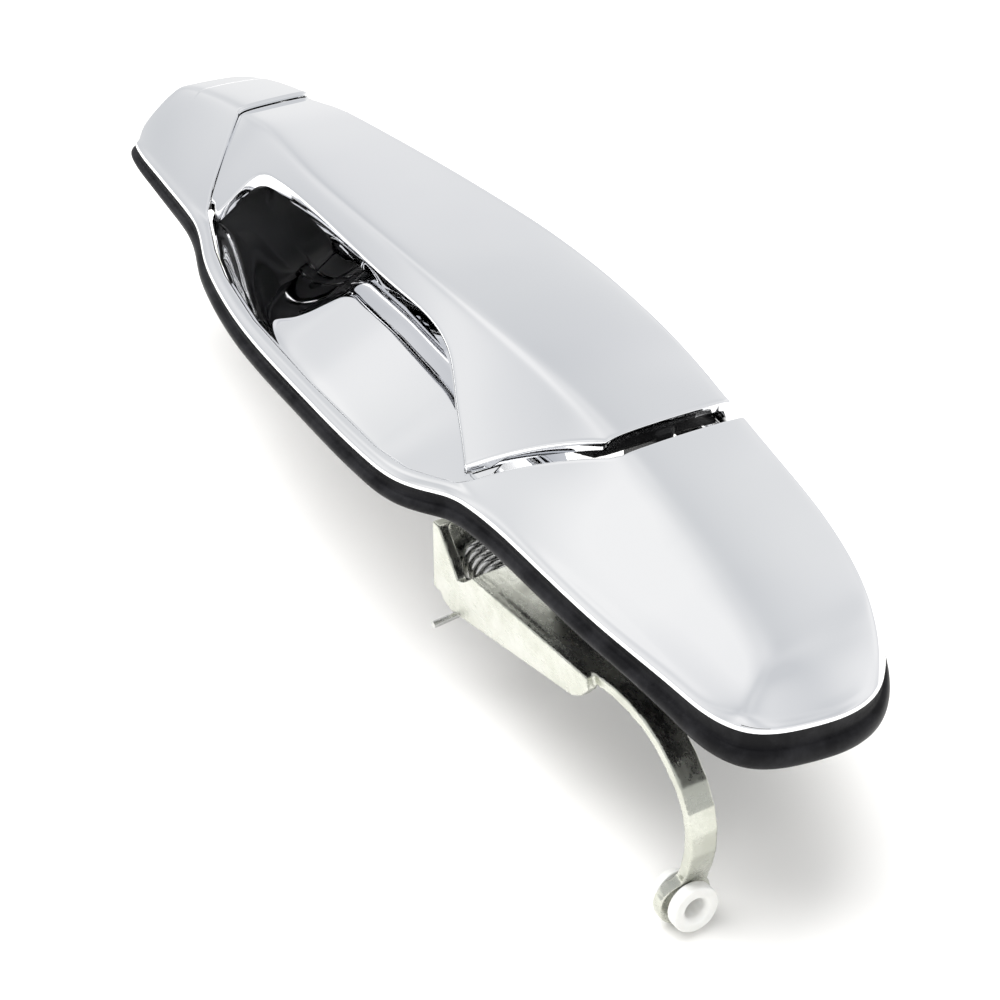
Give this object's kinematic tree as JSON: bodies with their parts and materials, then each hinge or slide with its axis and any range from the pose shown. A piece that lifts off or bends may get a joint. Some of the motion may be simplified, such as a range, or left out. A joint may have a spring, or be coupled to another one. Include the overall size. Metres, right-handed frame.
{
  "type": "car door handle",
  "caption": "Chromed exterior pull handle for a car door: a hinged bar over a finger cup, with a spring-loaded bell crank and rod clip behind it.",
  "frame": {"origin": "on the door panel's outer surface, under the middle of the handle's outline: the flat back of the gasket lies in z = 0", "axes": "+X along the handle from its hinged end to its free end, +Y towards its upper side on the door, +Z straight out of the door"},
  "size_m": [0.2776, 0.071, 0.0741],
  "materials": {
    "chrome": "bright decorative chrome plating, polished",
    "zinc": "stamped steel with clear zinc plating, slightly yellow-green",
    "steel": "bright drawn wire and turned pin",
    "black_plastic": "fine-grained moulded black",
    "rubber": "satin black rubber",
    "nylon": "natural white moulded nylon"
  },
  "bodies": {
    "housing": {"bezel": "chrome", "grip_cup": "chrome", "gasket": "rubber", "carrier": "black_plastic", "hinge_pin": "steel", "stud_front": "zinc", "stud_rear": "zinc", "bezel_screw_1": "zinc", "bezel_screw_2": "zinc", "bezel_screw_3": "zinc", "bezel_screw_4": "zinc", "lever_pin": "steel", "lever_pin_clip": "steel", "bar_bumper": "rubber"},
    "handle": {"handle_cover": "chrome", "handle_core": "black_plastic", "hinge_bushing_lower": "nylon", "hinge_bushing_upper": "nylon"},
    "crank": {"lever": "zinc", "lever_spring": "steel"},
    "clip": {"rod_clip": "nylon"}
  },
  "joints": [
    {"name": "handle_pull", "type": "hinge", "parent": "housing", "child": "handle", "pos_m": [-0.097, 0.0087, 0.0134], "axis": [0, -1, 0], "range_deg": [0, 6]},
    {"name": "crank_swing", "type": "hinge", "parent": "housing", "child": "crank", "pos_m": [0.05, -0.015, -0.0162], "axis": [1, 0, 0], "range_deg": [0, 36.3], "stiffness_Nm_per_rad": 0.15, "springref_deg": -57.3},
    {"name": "clip_swivel", "type": "hinge", "parent": "crank", "child": "clip", "pos_m": [0.121, -0.0195, -0.0408], "axis": [0.9976, 0, 0.0698], "continuous": true}
  ],
  "couplings": [
    {"joint": "crank_swing", "follows": "handle_pull", "ratio": 6}
  ]
}
